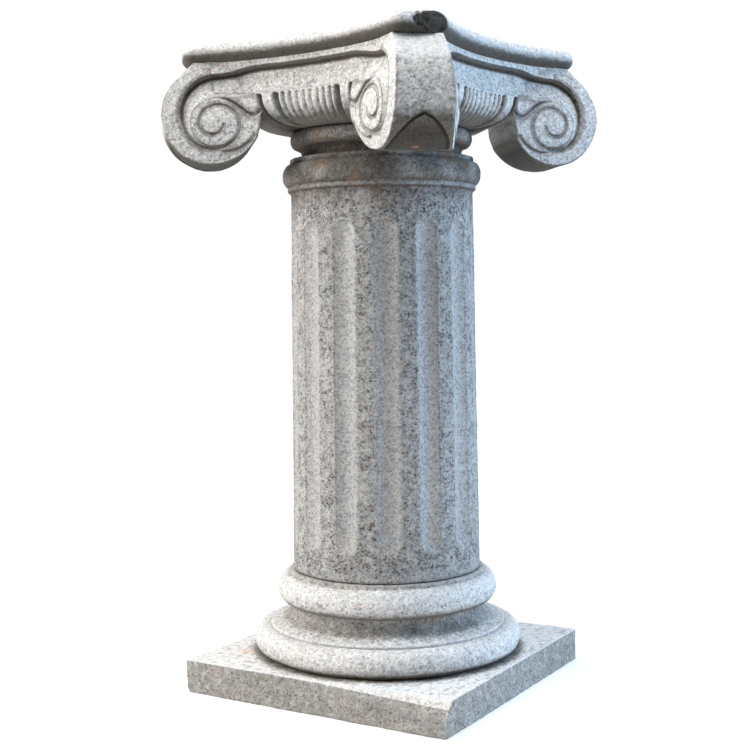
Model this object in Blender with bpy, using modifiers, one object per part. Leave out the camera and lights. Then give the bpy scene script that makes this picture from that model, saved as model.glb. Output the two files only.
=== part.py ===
"""Short granite column: a square base, a fluted shaft and a four-cornered Ionic capital.

Three stones stand on each other. Metres, +Z up, the origin under the middle of the plinth.
The plinth's sides face X and Y. The capital is turned a little on the shaft.
"""

import math

import bmesh
import bpy
from mathutils import Matrix, Vector

# The joint between two stones
JOINT_GAP = 0.0003

# Base stone: plinth, lower torus, lip, scotia, upper torus and the fillet under the shaft
PLINTH_SIDE = 0.462
PLINTH_HEIGHT = 0.051
PLINTH_EDGE = 0.0025
LOWER_TORUS_FOOT_RADIUS = 0.197
LOWER_TORUS_RADIUS = 0.213
LOWER_TORUS_HEIGHT = 0.041
LIP_RADIUS = 0.1875
LIP_HEIGHT = 0.0055
SCOTIA_THROAT_RADIUS = 0.1545
SCOTIA_HEIGHT = 0.0315
SCOTIA_THROAT_SHARE = 0.84
UPPER_TORUS_FOOT_RADIUS = 0.158
UPPER_TORUS_RADIUS = 0.176
UPPER_TORUS_HEIGHT = 0.045
SEAT_FILLET_RADIUS = 0.1555
SEAT_FILLET_HEIGHT = 0.0065

# Shaft, from its foot up, with the mouldings at its head
SHAFT_FOOT_RADIUS = 0.1497
SHAFT_HEAD_RADIUS = 0.1437
SHAFT_PLAIN_HEIGHT = 0.5912
CAVETTO_HEIGHT = 0.006
LOWER_FILLET_RADIUS = 0.1485
LOWER_FILLET_HEIGHT = 0.0075
ASTRAGAL_RADIUS = 0.1565
ASTRAGAL_HEIGHT = 0.0355
UPPER_FILLET_RADIUS = 0.1452
UPPER_FILLET_HEIGHT = 0.0075
NECK_THROAT_RADIUS = 0.1265
NECK_HEIGHT = 0.0172
BEAD_RADIUS = 0.1435
BEAD_HEIGHT = 0.0255
BEAD_BULGE = 0.0085

# Flutes
FLUTE_COUNT = 14
FLUTE_WIDTH = 0.037
FLUTE_DEPTH = 0.007
FLUTE_FOOT_CLEARANCE = 0.043
FLUTE_HEAD_CLEARANCE = 0.0425
FLUTE_TURN = 7.1

# Capital: heights above its own seat on the shaft. The grooves between the ribs are shares of the
# half field, from the middle of a face outwards
CAPITAL_TURN = -3.8
CAPITAL_HEIGHT = 0.1285
BELL_SEAT_RADIUS = 0.140
BELL_HEIGHT = 0.0485
ABACUS_THICKNESS = 0.031
FACE_MIDDLE = 0.1905
FACE_SWEEP_RADIUS = 0.495
RIB_FIELD_HALF_WIDTH = 0.090
RIB_GROOVES = (0.08, 0.24, 0.39, 0.54, 0.70, 0.93)
RIB_GROOVE_DEEP = 0.009
RIB_GROOVE_SHALLOW = 0.0028
ABACUS_CREASE_MIDDLE = 0.1875
HORN_REACH = 0.2935
CAPITAL_OVERLAP = 0.001

# The horn over one corner is broken off square, rough and a little askew
BROKEN_CORNER = 3
FRACTURE_REACH = 0.3038
FRACTURE_TURN = 22.0
FRACTURE_LEAN = 6.0
FRACTURE_BLOCK_SIDE = 0.155
FRACTURE_BLOCK_HEIGHT = 0.034

# Rows of the bell as shares of its height, each with the share of the grooves' depth there
BELL_ROWS = ((0.0, 0.35), (0.15, 0.5), (0.45, 0.8), (0.92, 1.0), (1.0, 0.0))

# Scrolls: the disc, its wedge shape and the spiral's eye
SCROLL_RADIUS = 0.075
SCROLL_CENTRE_REACH = 0.2692
SCROLL_CENTRE_HEIGHT = 0.0181
SCROLL_HALF_THICKNESS = 0.0608
SCROLL_TAPER = 0.25
SCROLL_ROUNDING = 2.0
SCROLL_CREASES = (-0.6, -0.2, 0.2, 0.6)
EYE_INSET = 0.003
EYE_DROP = 0.0142

# The channel that winds out of each eye and crosses the face: radius of its middle line,
# half its width and its depth, at every quarter turn from the curl outwards
CURL_START = 180.0
CHANNEL_RADII = (0.0150, 0.0160, 0.0218, 0.0285, 0.0375, 0.0368, 0.0405, 0.0550)
CHANNEL_HALF_WIDTHS = (0.0023, 0.0027, 0.0027, 0.0028, 0.0030, 0.0034, 0.0063, 0.0155)
CHANNEL_DEPTHS = (0.0025, 0.0030, 0.0030, 0.0030, 0.0032, 0.0036, 0.0050, 0.0100)
CANALIS_RISE = 0.063
CANALIS_HALF_WIDTH = 0.0175
CANALIS_DEPTH = 0.011

# The pointed leaf cut into the outer band of each scroll
LEAF_LINE_RADIUS = 0.0016
LEAF_TIP_ANGLE = -26.0
LEAF_SHOULDER_ANGLE = -85.0
LEAF_FOOT_ANGLE = -130.0
LEAF_HALF_WIDTH = 0.0425
LEAF_SWELL = 0.7

# How finely round forms are cut, and the angle in degrees up to which an edge is shaded smooth
SMOOTH_BELOW = 35.0
BASE_STEPS = 36
SHAFT_STEPS = 42
SCROLL_STEPS = 24
TORUS_STEPS = 5
HOLLOW_STEPS = 4
FLUTE_RINGS = 9
FLUTE_SEGMENTS = 26
CHANNEL_CURL_STEPS = 17
CHANNEL_STRAIGHT_STEPS = 3
SWEEP_PIECES = 9
LEAF_STEPS = 5

# Heights that follow from the sizes above
LIP_FOOT = PLINTH_HEIGHT + LOWER_TORUS_HEIGHT
SCOTIA_FOOT = LIP_FOOT + LIP_HEIGHT
UPPER_TORUS_FOOT = SCOTIA_FOOT + SCOTIA_HEIGHT
SEAT_FILLET_FOOT = UPPER_TORUS_FOOT + UPPER_TORUS_HEIGHT
BASE_TOP = SEAT_FILLET_FOOT + SEAT_FILLET_HEIGHT
SHAFT_FOOT = BASE_TOP + JOINT_GAP
CAVETTO_FOOT = SHAFT_FOOT + SHAFT_PLAIN_HEIGHT
LOWER_FILLET_FOOT = CAVETTO_FOOT + CAVETTO_HEIGHT
ASTRAGAL_FOOT = LOWER_FILLET_FOOT + LOWER_FILLET_HEIGHT
UPPER_FILLET_FOOT = ASTRAGAL_FOOT + ASTRAGAL_HEIGHT
NECK_FOOT = UPPER_FILLET_FOOT + UPPER_FILLET_HEIGHT
BEAD_FOOT = NECK_FOOT + NECK_HEIGHT
SHAFT_TOP = BEAD_FOOT + BEAD_HEIGHT
CAPITAL_SEAT = SHAFT_TOP + JOINT_GAP
EYE_REACH = SCROLL_CENTRE_REACH - EYE_INSET
EYE_HEIGHT = SCROLL_CENTRE_HEIGHT - EYE_DROP
ABACUS_FOOT = CAPITAL_HEIGHT - ABACUS_THICKNESS
CORNER_ANGLES = [45.0 + 90.0 * corner for corner in range(4)]


def clear_scene():
    for item in list(bpy.data.objects):
        bpy.data.objects.remove(item, do_unlink=True)


def new_collection(name):
    collection = bpy.data.collections.new(name)
    bpy.context.scene.collection.children.link(collection)
    return collection


def stone(name, colour, roughness):
    material = bpy.data.materials.new(name)
    material.use_nodes = True
    shader = material.node_tree.nodes["Principled BSDF"]
    shader.inputs["Base Color"].default_value = (*colour, 1.0)
    shader.inputs["Roughness"].default_value = roughness
    shader.inputs["Metallic"].default_value = 0.0
    return material


def add_object(name, mesh, collection):
    item = bpy.data.objects.new(name, mesh)
    collection.objects.link(item)
    return item


def mark_as_tool(item):
    """A tool shape is only cut away or joined on, and is never seen itself."""
    item.hide_render = True
    item.display_type = "WIRE"


def add_boolean(item, operation, tools):
    cut = item.modifiers.new(operation.title(), "BOOLEAN")
    cut.operation = operation
    cut.solver = "EXACT"
    cut.operand_type = "COLLECTION"
    cut.collection = tools
    return cut


def shade(mesh):
    mesh.shade_smooth()
    mesh.set_sharp_from_angle(angle=math.radians(SMOOTH_BELOW))


def ellipse_arc(centre_r, centre_z, half_r, half_z, start, end, steps):
    """Points on an ellipse in the turning plane, angles in degrees from +X towards +Z."""
    points = []
    for step in range(steps + 1):
        angle = math.radians(start + (end - start) * step / steps)
        points.append((centre_r + half_r * math.cos(angle), centre_z + half_z * math.sin(angle)))
    return points


def turned(name, profile, steps, collection):
    """A solid of revolution about Z from a profile that runs down its outer side."""
    mesh = bpy.data.meshes.new(name)
    edges = [(index, index + 1) for index in range(len(profile) - 1)]
    mesh.from_pydata([(radius, 0.0, height) for radius, height in profile], edges, [])
    item = add_object(name, mesh, collection)
    screw = item.modifiers.new("Turn", "SCREW")
    screw.axis = "Z"
    screw.angle = math.tau
    screw.steps = steps
    screw.render_steps = steps
    screw.use_merge_vertices = True
    screw.merge_threshold = 0.00001
    screw.use_smooth_shade = True
    return item


def box(name, side, height, collection):
    mesh = bpy.data.meshes.new(name)
    builder = bmesh.new()
    bmesh.ops.create_cube(builder, size=1.0)
    bmesh.ops.scale(builder, vec=(side, side, height), verts=builder.verts)
    bmesh.ops.translate(builder, vec=(0.0, 0.0, height / 2.0), verts=builder.verts)
    builder.to_mesh(mesh)
    builder.free()
    return add_object(name, mesh, collection)


# Base stone

def base_profile():
    seat_middle = UPPER_TORUS_FOOT + UPPER_TORUS_HEIGHT / 2.0
    foot_middle = PLINTH_HEIGHT + LOWER_TORUS_HEIGHT / 2.0
    scotia_width = LIP_RADIUS - SCOTIA_THROAT_RADIUS
    scotia_drop = SCOTIA_HEIGHT * SCOTIA_THROAT_SHARE
    profile = [(0.0, BASE_TOP), (SEAT_FILLET_RADIUS, BASE_TOP), (SEAT_FILLET_RADIUS, SEAT_FILLET_FOOT)]
    profile += ellipse_arc(UPPER_TORUS_FOOT_RADIUS, seat_middle,
                           UPPER_TORUS_RADIUS - UPPER_TORUS_FOOT_RADIUS,
                           UPPER_TORUS_HEIGHT / 2.0, 82.0, -90.0, TORUS_STEPS)
    profile += ellipse_arc(LIP_RADIUS, SCOTIA_FOOT + scotia_drop, scotia_width,
                           scotia_drop, 170.0, 266.0, HOLLOW_STEPS)
    profile += [(LIP_RADIUS, SCOTIA_FOOT), (LIP_RADIUS, LIP_FOOT)]
    profile += ellipse_arc(LOWER_TORUS_FOOT_RADIUS, foot_middle,
                           LOWER_TORUS_RADIUS - LOWER_TORUS_FOOT_RADIUS,
                           LOWER_TORUS_HEIGHT / 2.0, 90.0, -90.0, TORUS_STEPS)
    profile += [(LOWER_TORUS_FOOT_RADIUS, PLINTH_HEIGHT / 2.0), (0.0, PLINTH_HEIGHT / 2.0)]
    return profile


def build_base(parts, tools):
    base = box("base", PLINTH_SIDE, PLINTH_HEIGHT, parts)
    base.data.materials.append(stone("base granite", (0.62, 0.62, 0.60), 0.72))
    edge = base.modifiers.new("Worn edge", "BEVEL")
    edge.width = PLINTH_EDGE
    edge.segments = 2
    mouldings = turned("base mouldings", base_profile(), BASE_STEPS, tools)
    mark_as_tool(mouldings)
    add_boolean(base, "UNION", tools)
    return base


# Shaft

def shaft_profile():
    astragal_middle = ASTRAGAL_FOOT + ASTRAGAL_HEIGHT / 2.0
    bead_middle = BEAD_FOOT + BEAD_HEIGHT / 2.0
    bead_core = BEAD_RADIUS - BEAD_BULGE
    astragal_core = UPPER_FILLET_RADIUS
    profile = [(0.0, SHAFT_TOP)]
    profile += ellipse_arc(bead_core, bead_middle, BEAD_BULGE, BEAD_HEIGHT / 2.0, 90.0, -90.0, HOLLOW_STEPS)
    profile += ellipse_arc(bead_core, NECK_FOOT + NECK_HEIGHT / 2.0, bead_core - NECK_THROAT_RADIUS,
                           NECK_HEIGHT / 2.0, 110.0, 255.0, HOLLOW_STEPS)
    profile += [(UPPER_FILLET_RADIUS, NECK_FOOT), (UPPER_FILLET_RADIUS, UPPER_FILLET_FOOT)]
    profile += ellipse_arc(astragal_core, astragal_middle, ASTRAGAL_RADIUS - astragal_core,
                           ASTRAGAL_HEIGHT / 2.0, 80.0, -72.0, TORUS_STEPS)
    profile += [(LOWER_FILLET_RADIUS, ASTRAGAL_FOOT), (LOWER_FILLET_RADIUS, LOWER_FILLET_FOOT)]
    profile += ellipse_arc(LOWER_FILLET_RADIUS, CAVETTO_FOOT, LOWER_FILLET_RADIUS - SHAFT_HEAD_RADIUS,
                           CAVETTO_HEIGHT, 110.0, 180.0, 2)
    profile += [(SHAFT_FOOT_RADIUS, SHAFT_FOOT), (0.0, SHAFT_FOOT)]
    return profile


def flute_cutter(name, collection):
    """A long capsule that sinks FLUTE_DEPTH into the shaft and leaves a FLUTE_WIDTH wide channel."""
    middle_radius = (SHAFT_FOOT_RADIUS + SHAFT_HEAD_RADIUS) / 2.0
    half_width = FLUTE_WIDTH / 2.0
    sagitta = middle_radius - math.sqrt(middle_radius ** 2 - half_width ** 2)
    chord_depth = FLUTE_DEPTH - sagitta
    radius = (half_width ** 2 + chord_depth ** 2) / (2.0 * chord_depth)
    length = SHAFT_PLAIN_HEIGHT - FLUTE_FOOT_CLEARANCE - FLUTE_HEAD_CLEARANCE - FLUTE_WIDTH
    mesh = bpy.data.meshes.new(name)
    builder = bmesh.new()
    # With an odd number of rings none lies at the middle, so the halves part into a straight side
    flat_radius = radius / math.cos(math.pi / (2.0 * FLUTE_RINGS))
    bmesh.ops.create_uvsphere(builder, u_segments=FLUTE_SEGMENTS, v_segments=FLUTE_RINGS,
                              radius=flat_radius)
    for vertex in builder.verts:
        vertex.co.z += math.copysign(length / 2.0, vertex.co.z)
    builder.to_mesh(mesh)
    builder.free()
    shade(mesh)
    item = add_object(name, mesh, collection)
    centre_height = SHAFT_FOOT + FLUTE_FOOT_CLEARANCE + (length + FLUTE_WIDTH) / 2.0
    lean = math.atan2(SHAFT_FOOT_RADIUS - SHAFT_HEAD_RADIUS, SHAFT_PLAIN_HEIGHT)
    reach = middle_radius - FLUTE_DEPTH + radius
    return item, reach, centre_height, lean


def build_shaft(parts, tools):
    shaft = turned("shaft", shaft_profile(), SHAFT_STEPS, parts)
    shaft.data.materials.append(stone("shaft granite", (0.50, 0.51, 0.51), 0.78))
    for index in range(FLUTE_COUNT):
        cutter, reach, height, lean = flute_cutter(f"flute cutter {index}", tools)
        angle = math.radians(-90.0 + FLUTE_TURN + 360.0 * index / FLUTE_COUNT)
        cutter.location = (reach * math.cos(angle), reach * math.sin(angle), height)
        cutter.rotation_euler = (0.0, -lean, angle)
        mark_as_tool(cutter)
    add_boolean(shaft, "DIFFERENCE", tools)
    return shaft


# Capital, built about its own axis with its seat at height 0

def sweep(middle, across):
    """How far a hollow side of the capital stands out, at a distance across from its middle."""
    return middle + FACE_SWEEP_RADIUS - math.sqrt(FACE_SWEEP_RADIUS ** 2 - across ** 2)


def sweep_places(end):
    """Even places across a hollow side. Their count is even, so that none lies in the middle."""
    return [end * (2.0 * step / SWEEP_PIECES - 1.0) for step in range(SWEEP_PIECES + 1)]


def around(angle, across, out, height):
    """A point given along and out from the face whose middle lies at an angle."""
    direction = math.radians(angle)
    return Vector((
        out * math.cos(direction) - across * math.sin(direction),
        out * math.sin(direction) + across * math.cos(direction),
        height,
    ))


def scroll_half_thickness(outward, rise):
    """Half the scroll's thickness at a place given from its eye."""
    return SCROLL_HALF_THICKNESS - SCROLL_TAPER * outward - SCROLL_ROUNDING * rise ** 2


def scroll_face_point(outward, rise):
    """The same place as across and out from the middle of the face that it belongs to."""
    reach = EYE_REACH + outward
    half = scroll_half_thickness(outward, rise)
    return (reach - half) / math.sqrt(2.0), (reach + half) / math.sqrt(2.0)


def spread_evenly(values, place):
    """A smooth value between equally spaced ones, by Catmull-Rom."""
    last = len(values) - 1
    index = min(int(place), last - 1)
    part = place - index
    before = values[max(index - 1, 0)]
    start, end = values[index], values[index + 1]
    after = values[min(index + 2, last)]
    slope_in = (end - before) / 2.0
    slope_out = (after - start) / 2.0
    square, cube = part ** 2, part ** 3
    return (start * (2 * cube - 3 * square + 1) + slope_in * (cube - 2 * square + part)
            + end * (3 * square - 2 * cube) + slope_out * (cube - square))


def channel_half_path():
    """The channel from the eye to the middle of the face: across, out, height, width and depth."""
    path = []
    quarters = len(CHANNEL_RADII) - 1
    for step in range(CHANNEL_CURL_STEPS + 1):
        place = quarters * step / CHANNEL_CURL_STEPS
        angle = math.radians(CURL_START + 90.0 * place)
        radius = spread_evenly(CHANNEL_RADII, place)
        outward, rise = radius * math.cos(angle), radius * math.sin(angle)
        across, out = scroll_face_point(outward, rise)
        path.append((across, out, EYE_HEIGHT + rise,
                     spread_evenly(CHANNEL_HALF_WIDTHS, place), spread_evenly(CHANNEL_DEPTHS, place)))
    top_across, _, top_height, top_width, top_depth = path[-1]
    for step in range(1, CHANNEL_STRAIGHT_STEPS + 1):
        part = step / CHANNEL_STRAIGHT_STEPS
        ease = min(1.0, 2.0 * part)
        across = top_across * (1.0 - part)
        height = top_height + (EYE_HEIGHT + CANALIS_RISE - top_height) * ease
        width = top_width + (CANALIS_HALF_WIDTH - top_width) * ease
        depth = top_depth + (CANALIS_DEPTH - top_depth) * ease
        path.append((across, sweep(FACE_MIDDLE, across), height, width, depth))
    return path


def curve_to_tool(name, curve, collection):
    """A curve's tube as a closed mesh."""
    item = add_object(name, curve, collection)
    bpy.context.view_layer.update()
    graph = bpy.context.evaluated_depsgraph_get()
    mesh = bpy.data.meshes.new_from_object(item.evaluated_get(graph))
    matrix = item.matrix_world.copy()
    bpy.data.objects.remove(item, do_unlink=True)
    builder = bmesh.new()
    builder.from_mesh(mesh)
    bmesh.ops.remove_doubles(builder, verts=builder.verts, dist=0.00001)
    bmesh.ops.recalc_face_normals(builder, faces=builder.faces)
    builder.to_mesh(mesh)
    builder.free()
    shade(mesh)
    tool = add_object(name, mesh, collection)
    tool.matrix_world = matrix
    return tool


def tube(name, points, radii, sides_resolution, collection):
    curve = bpy.data.curves.new(name, "CURVE")
    curve.dimensions = "3D"
    curve.fill_mode = "FULL"
    curve.bevel_depth = 0.001
    curve.bevel_resolution = sides_resolution
    curve.use_fill_caps = True
    spline = curve.splines.new("POLY")
    spline.points.add(len(points) - 1)
    for place, point, radius in zip(spline.points, points, radii):
        place.co = (*point, 1.0)
        place.radius = radius / curve.bevel_depth
    return curve_to_tool(name, curve, collection)


def cut_channel(name, angle, collection):
    half = channel_half_path()
    places = [(-across, out, height, width, depth) for across, out, height, width, depth in half]
    places += half[-2::-1]
    points = []
    radii = []
    for across, out, height, width, depth in places:
        radius = (width ** 2 + depth ** 2) / (2.0 * depth)
        points.append(around(angle, across, out + radius - depth, height))
        radii.append(radius)
    return tube(name, points, radii, 1, collection)


def cut_leaf(name, angle, collection):
    """The outline of the pointed leaf, up one side of a scroll's outer band and down the other."""
    points = []
    shoulder = (LEAF_SHOULDER_ANGLE - LEAF_TIP_ANGLE) / (LEAF_FOOT_ANGLE - LEAF_TIP_ANGLE)
    for step in range(-LEAF_STEPS, LEAF_STEPS + 1):
        part = abs(step) / LEAF_STEPS
        around_band = math.radians(LEAF_TIP_ANGLE + (LEAF_FOOT_ANGLE - LEAF_TIP_ANGLE) * part)
        spread = LEAF_HALF_WIDTH * math.sin(min(1.0, part / shoulder) ** LEAF_SWELL * math.pi / 2.0)
        reach = SCROLL_CENTRE_REACH + SCROLL_RADIUS * math.cos(around_band)
        height = SCROLL_CENTRE_HEIGHT + SCROLL_RADIUS * math.sin(around_band)
        points.append(around(angle, math.copysign(spread, step), reach, height))
    return tube(name, points, [LEAF_LINE_RADIUS] * len(points), 0, collection)


def build_scroll(name, angle, collection):
    """A wedge-shaped disc that stands across a corner of the capital."""
    mesh = bpy.data.meshes.new(name)
    builder = bmesh.new()
    bmesh.ops.create_cone(builder, cap_ends=True, segments=SCROLL_STEPS, radius1=SCROLL_RADIUS,
                          radius2=SCROLL_RADIUS, depth=2.0 * SCROLL_HALF_THICKNESS)
    bmesh.ops.rotate(builder, verts=builder.verts, matrix=Matrix.Rotation(math.pi / 2.0, 3, "X"))
    for share in SCROLL_CREASES:
        everything = builder.verts[:] + builder.edges[:] + builder.faces[:]
        bmesh.ops.bisect_plane(builder, geom=everything, plane_co=(0.0, 0.0, share * SCROLL_RADIUS),
                               plane_no=(0.0, 0.0, 1.0))
    for vertex in builder.verts:
        half = scroll_half_thickness(vertex.co.x + EYE_INSET, vertex.co.z + EYE_DROP)
        vertex.co.y = math.copysign(half, vertex.co.y)
    builder.to_mesh(mesh)
    builder.free()
    shade(mesh)
    item = add_object(name, mesh, collection)
    item.location = around(angle, 0.0, SCROLL_CENTRE_REACH, SCROLL_CENTRE_HEIGHT)
    item.rotation_euler = (0.0, 0.0, math.radians(angle))
    return item


def loft(name, sections, collection):
    """A closed solid through sections of equally many points, from the lowest to the highest."""
    mesh = bpy.data.meshes.new(name)
    builder = bmesh.new()
    rings = [[builder.verts.new(point) for point in section] for section in sections]
    count = len(rings[0])
    for low, high in zip(rings, rings[1:]):
        for index in range(count):
            after = (index + 1) % count
            builder.faces.new((low[index], low[after], high[after], high[index]))
    builder.faces.new(rings[0][::-1])
    builder.faces.new(rings[-1])
    builder.to_mesh(mesh)
    builder.free()
    shade(mesh)
    return add_object(name, mesh, collection)


def rib_places():
    """Places across the rib field with the groove depth at each: a groove, a crest, a groove."""
    half = []
    for index, groove in enumerate(RIB_GROOVES):
        deepening = max(0.0, index - 2) / (len(RIB_GROOVES) - 3)
        depth = RIB_GROOVE_SHALLOW + (RIB_GROOVE_DEEP - RIB_GROOVE_SHALLOW) * deepening
        half.append((groove, depth))
        if index + 1 < len(RIB_GROOVES):
            half.append(((groove + RIB_GROOVES[index + 1]) / 2.0, 0.0))
    half.append((1.0, 0.0))
    return [(-share, depth) for share, depth in reversed(half)] + [(0.0, 0.0)] + half


def bell_sections():
    """The ribbed bell, round at its seat and hollow-sided at the top."""
    sections = []
    for part, fade in BELL_ROWS:
        swell = math.sqrt(1.0 - (1.0 - part) ** 2)
        height = BELL_HEIGHT * part
        section = []
        for side in range(4):
            for share, depth in rib_places():
                across = share * RIB_FIELD_HALF_WIDTH
                out = sweep(FACE_MIDDLE, across)
                far = math.hypot(across, out)
                slim = BELL_SEAT_RADIUS / far
                scale = slim + (1.0 - slim) * swell
                cut = depth * fade
                section.append(around(90.0 * side, across * scale, out * scale - cut, height))
        sections.append(section)
    return sections


def block_sections():
    """The plain block behind the channels, from the ribs up to the abacus."""
    across_end = (EYE_REACH - scroll_half_thickness(0.0, CANALIS_RISE)) / math.sqrt(2.0)
    sections = []
    for height in (BELL_HEIGHT - CAPITAL_OVERLAP, ABACUS_FOOT + CAPITAL_OVERLAP):
        section = []
        for side in range(4):
            for across in sweep_places(across_end):
                section.append(around(90.0 * side, across, sweep(FACE_MIDDLE, across), height))
        sections.append(section)
    return sections


def horn_half_way():
    """How far across a face its crease runs before the horn's blunt end begins."""
    # Where the line across + out = HORN_REACH * sqrt(2) meets the circle of the sweep
    line = HORN_REACH * math.sqrt(2.0) - (ABACUS_CREASE_MIDDLE + FACE_SWEEP_RADIUS)
    return (line + math.sqrt(2.0 * FACE_SWEEP_RADIUS ** 2 - line ** 2)) / 2.0


def build_abacus(name, collection):
    """The hollow-sided slab with a half-round edge, as a filled outline with a round bevel."""
    half_round = ABACUS_THICKNESS / 2.0
    horn_across = horn_half_way()
    outline = []
    for side in range(4):
        for across in sweep_places(horn_across):
            outline.append(around(90.0 * side, across, sweep(ABACUS_CREASE_MIDDLE, across), 0.0))
    curve = bpy.data.curves.new(name, "CURVE")
    curve.dimensions = "2D"
    curve.fill_mode = "BOTH"
    curve.extrude = 0.0
    curve.bevel_depth = half_round
    curve.bevel_resolution = 1
    spline = curve.splines.new("POLY")
    spline.points.add(len(outline) - 1)
    for place, point in zip(spline.points, outline):
        place.co = (point.x, point.y, 0.0, 1.0)
    spline.use_cyclic_u = True
    item = curve_to_tool(name, curve, collection)
    item.location = (0.0, 0.0, ABACUS_FOOT + half_round)
    return item


def cut_fracture(name, angle, collection):
    """What is lost of the broken horn, as a block beyond the break."""
    block = box(name, FRACTURE_BLOCK_SIDE, FRACTURE_BLOCK_HEIGHT, collection)
    turn = Matrix.Rotation(math.radians(angle + FRACTURE_TURN), 4, "Z")
    lean = Matrix.Rotation(-math.radians(FRACTURE_LEAN), 4, "Y")
    half_block = Vector((FRACTURE_BLOCK_SIDE / 2.0, 0.0, -FRACTURE_BLOCK_HEIGHT / 2.0))
    break_middle = around(angle, 0.0, FRACTURE_REACH, ABACUS_FOOT + ABACUS_THICKNESS / 2.0)
    block.matrix_world = Matrix.Translation(break_middle) @ turn @ lean @ Matrix.Translation(half_block)
    return block


def build_capital(parts, joined, cut):
    turn = bpy.data.objects.new("capital turn", None)
    parts.objects.link(turn)
    turn.location = (0.0, 0.0, CAPITAL_SEAT)
    turn.rotation_euler = (0.0, 0.0, math.radians(CAPITAL_TURN))
    capital = loft("capital", bell_sections(), parts)
    capital.data.materials.append(stone("capital granite", (0.60, 0.61, 0.61), 0.74))
    loft("channel block", block_sections(), joined)
    build_abacus("abacus", joined)
    for index, angle in enumerate(CORNER_ANGLES):
        build_scroll(f"scroll {index}", angle, joined)
        cut_channel(f"channel cutter {index}", angle - 45.0, cut)
        cut_leaf(f"leaf line {index}", angle, cut)
    cut_fracture("lost horn", CORNER_ANGLES[BROKEN_CORNER], cut)
    for item in [*joined.objects, *cut.objects]:
        item.parent = turn
        mark_as_tool(item)
    capital.parent = turn
    add_boolean(capital, "UNION", joined)
    add_boolean(capital, "DIFFERENCE", cut)
    return capital


def main():
    clear_scene()
    parts = new_collection("granite column")
    base_tools = new_collection("base tools")
    shaft_tools = new_collection("shaft tools")
    capital_joined = new_collection("capital joined shapes")
    capital_cut = new_collection("capital cut shapes")
    build_base(parts, base_tools)
    build_shaft(parts, shaft_tools)
    build_capital(parts, capital_joined, capital_cut)


main()
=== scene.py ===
"""Looks of the short granite column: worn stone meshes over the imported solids, light and camera.

Metres, +Z up. Every stone is a stack of rings, so that its relief can be worked out point by point.
"""

import math

import bpy
import numpy as np
from mathutils import Matrix, Vector

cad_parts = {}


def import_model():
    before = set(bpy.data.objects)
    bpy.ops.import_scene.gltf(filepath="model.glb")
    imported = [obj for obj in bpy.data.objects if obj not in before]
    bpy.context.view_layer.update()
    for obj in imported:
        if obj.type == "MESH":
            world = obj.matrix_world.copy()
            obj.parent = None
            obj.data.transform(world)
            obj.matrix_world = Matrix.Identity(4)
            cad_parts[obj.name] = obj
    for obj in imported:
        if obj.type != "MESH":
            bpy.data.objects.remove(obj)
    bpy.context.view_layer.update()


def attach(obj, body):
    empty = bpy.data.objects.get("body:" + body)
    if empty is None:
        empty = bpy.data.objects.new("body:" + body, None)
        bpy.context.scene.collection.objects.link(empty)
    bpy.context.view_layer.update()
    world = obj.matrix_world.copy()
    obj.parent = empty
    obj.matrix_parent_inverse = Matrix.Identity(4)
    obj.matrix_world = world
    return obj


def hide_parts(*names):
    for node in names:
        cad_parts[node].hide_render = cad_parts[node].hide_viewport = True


MM = 0.001

# Sizes of the three stones, the same as the solids'
PLINTH_SIDE, PLINTH_HEIGHT = 0.462, 0.051
CAPITAL_SEAT, CAPITAL_TURN, CAPITAL_HEIGHT = 0.8715, -3.8, 0.1285
SHAFT_FOOT, SHAFT_TOP = 0.1808, 0.8712
SHAFT_FOOT_RADIUS, SHAFT_HEAD_RADIUS, CAVETTO_FOOT = 0.1497, 0.1437, 0.772
FLUTE_COUNT, FLUTE_WIDTH, FLUTE_DEPTH, FLUTE_TURN = 14, 0.037, 0.007, 7.1
FLUTE_LOW, FLUTE_HIGH = 0.2238, 0.7295
BELL_SEAT_RADIUS, BELL_HEIGHT = 0.140, 0.0485
ABACUS_THICKNESS = 0.031
ABACUS_FOOT = CAPITAL_HEIGHT - ABACUS_THICKNESS
FACE_MIDDLE, ABACUS_CREASE_MIDDLE, FACE_SWEEP_RADIUS = 0.1905, 0.1875, 0.495
HORN_REACH = 0.2935
FRACTURE_REACH, FRACTURE_TURN, FRACTURE_LEAN = 0.3038, 22.0, 6.0
EYE_REACH, EYE_HEIGHT = 0.2662, 0.0039
SCROLL_RADIUS, SCROLL_EDGE = 0.075, 0.0028
SCROLL_CENTRE_OUT, SCROLL_CENTRE_RISE = 0.003, 0.0142
SCROLL_HALF_THICKNESS, SCROLL_TAPER, SCROLL_ROUNDING = 0.0608, 0.25, 2.0

# The rib field of a face: half its width, and its grooves as (across, depth, half width)
RIB_FIELD_HALF_WIDTH = 0.090
RIB_GROOVES = ((0.0060, 0.0024, 0.0056), (0.0195, 0.0026, 0.0056), (0.0315, 0.0030, 0.0054),
               (0.0435, 0.0042, 0.0054), (0.0570, 0.0110, 0.0078), (0.0855, 0.0130, 0.0060))

# Spiral groove: at each quarter turn from the curl outwards, its wall's radius, depth and the width of
# the floor inside the wall. Then its run along the channel's upper edge to the middle of the face
CURL_START = 180.0
SPIRAL_RADII = (0.0150, 0.0160, 0.0218, 0.0285, 0.0390, 0.0368, 0.0465, 0.0708)
SPIRAL_DEPTHS = (0.0022, 0.0028, 0.0030, 0.0030, 0.0032, 0.0042, 0.0062, 0.0105)
SPIRAL_FLOORS = (0.0022, 0.0028, 0.0030, 0.0030, 0.0032, 0.0042, 0.0120, 0.0320)
CHANNEL_RISE, CHANNEL_DEPTH, CHANNEL_FLOOR = 0.0806, 0.0105, 0.0365
LIP_SHARE = 0.22
HAND_OVER, DIVE = 0.002, 0.008

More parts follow.
